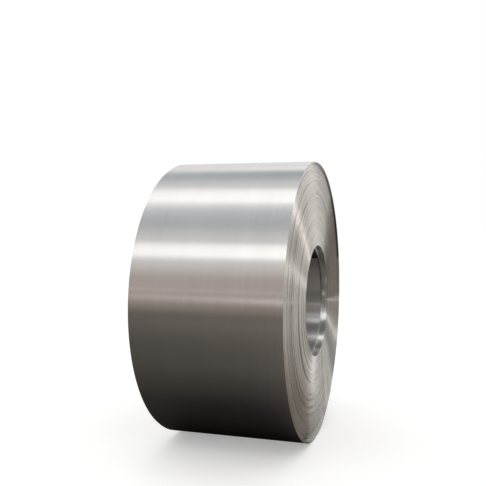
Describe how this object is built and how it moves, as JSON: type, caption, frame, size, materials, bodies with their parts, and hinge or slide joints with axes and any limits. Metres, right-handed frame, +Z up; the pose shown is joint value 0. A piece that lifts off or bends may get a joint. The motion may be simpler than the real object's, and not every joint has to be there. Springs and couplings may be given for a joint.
{
  "type": "steel coil",
  "caption": "Coil of bare steel strip lying on its barrel, with an open eye, turns showing on both ends and a slightly proud outer lap.",
  "frame": {"origin": "on the floor, below the middle of the coil's overall length", "axes": "+X along the eye towards the end that shows in the picture, +Y to the back, +Z up"},
  "size_m": [0.6808, 1.3059, 1.3059],
  "materials": {
    "steel_strip": "cold-rolled, bare, satin with rolling grain along the strip"
  },
  "bodies": {
    "root": {"coil": "steel_strip"}
  },
  "joints": []
}
